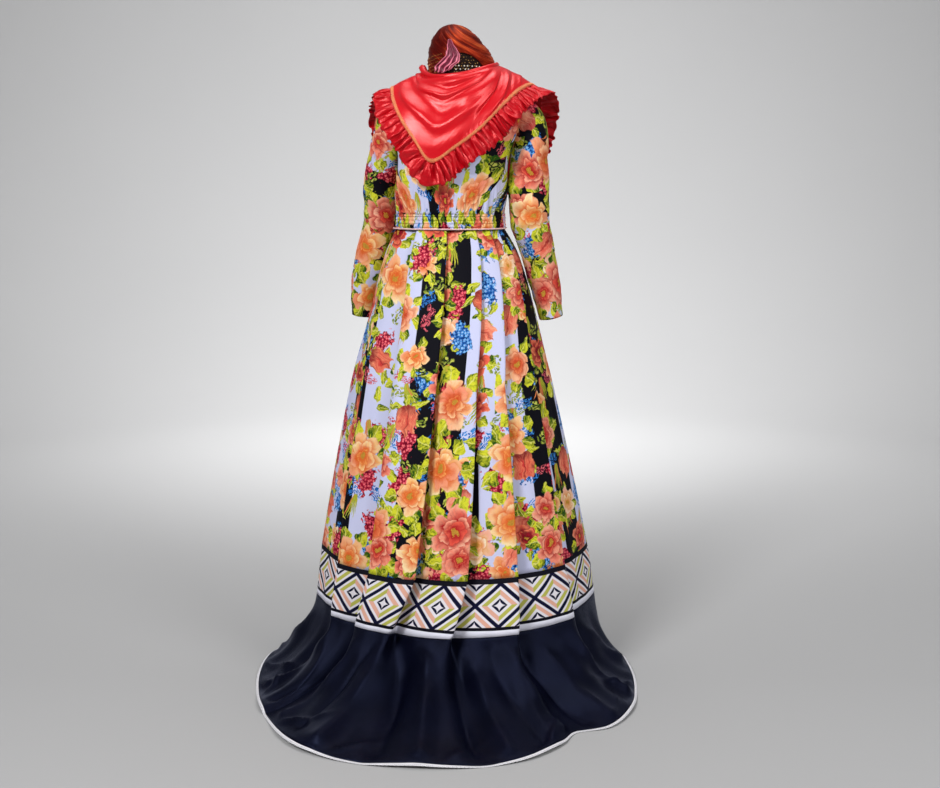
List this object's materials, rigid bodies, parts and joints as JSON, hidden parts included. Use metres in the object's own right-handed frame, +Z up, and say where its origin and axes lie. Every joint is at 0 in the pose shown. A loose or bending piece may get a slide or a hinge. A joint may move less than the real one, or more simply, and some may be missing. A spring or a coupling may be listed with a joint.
{
  "type": "pleated gown with shoulder scarf and head tie",
  "caption": "Traditional Creole gown on its wearer's form: pleated floral skirt with patterned border and dark train, long sleeves, frilled satin foulard and wound head tie",
  "frame": {"origin": "midway between the two shoulder seams of the gown, where the wearer's shoulders hold it up, 1.34 m above the floor that the hem lies on", "axes": "+Z up, +Y the way the wearer faces, +X towards the wearer's right-hand side; the train lies towards -Y"},
  "size_m": [0.901, 0.9819, 1.5105],
  "materials": {
    "floral_cotton": "cotton printed all over with peach, crimson, green and blue flowers on white and black stripes",
    "patterned_border": "cotton printed with a border of nested diamonds in cream, lime, peach and navy",
    "navy_cotton": "plain dark navy cotton, matt",
    "pink_piping": "pale pink satin piping",
    "white_lace": "narrow white cotton lace",
    "red_satin": "coral red satin, glossy",
    "orange_braid": "orange looped lace braid",
    "rust_cloth": "thin wound cloth, rust and maroon",
    "black_net": "black net with gold beads",
    "plum_cloth": "crinkled plum cloth with pink edges"
  },
  "bodies": {
    "root": {"bodice_back": "floral_cotton", "bodice_front": "floral_cotton", "sleeve_left": "floral_cotton", "sleeve_right": "floral_cotton", "waistband_back": "floral_cotton", "waistband_front": "floral_cotton", "waist_piping": "pink_piping", "skirt_back_left": "floral_cotton", "border_back_left": "patterned_border", "hem_back_left": "navy_cotton", "hem_lace_back_left": "white_lace", "skirt_back_right": "floral_cotton", "border_back_right": "patterned_border", "hem_back_right": "navy_cotton", "hem_lace_back_right": "white_lace", "skirt_side_right": "floral_cotton", "border_side_right": "patterned_border", "hem_side_right": "navy_cotton", "hem_lace_side_right": "white_lace", "skirt_front_right": "floral_cotton", "border_front_right": "patterned_border", "hem_front_right": "navy_cotton", "hem_lace_front_right": "white_lace", "skirt_front_left": "floral_cotton", "border_front_left": "patterned_border", "hem_front_left": "navy_cotton", "hem_lace_front_left": "white_lace", "skirt_side_left": "floral_cotton", "border_side_left": "patterned_border", "hem_side_left": "navy_cotton", "hem_lace_side_left": "white_lace", "foulard": "red_satin", "foulard_frill": "red_satin", "foulard_braid": "orange_braid", "head_tie": "rust_cloth", "head_net": "black_net", "head_tie_end": "plum_cloth"}
  },
  "joints": []
}
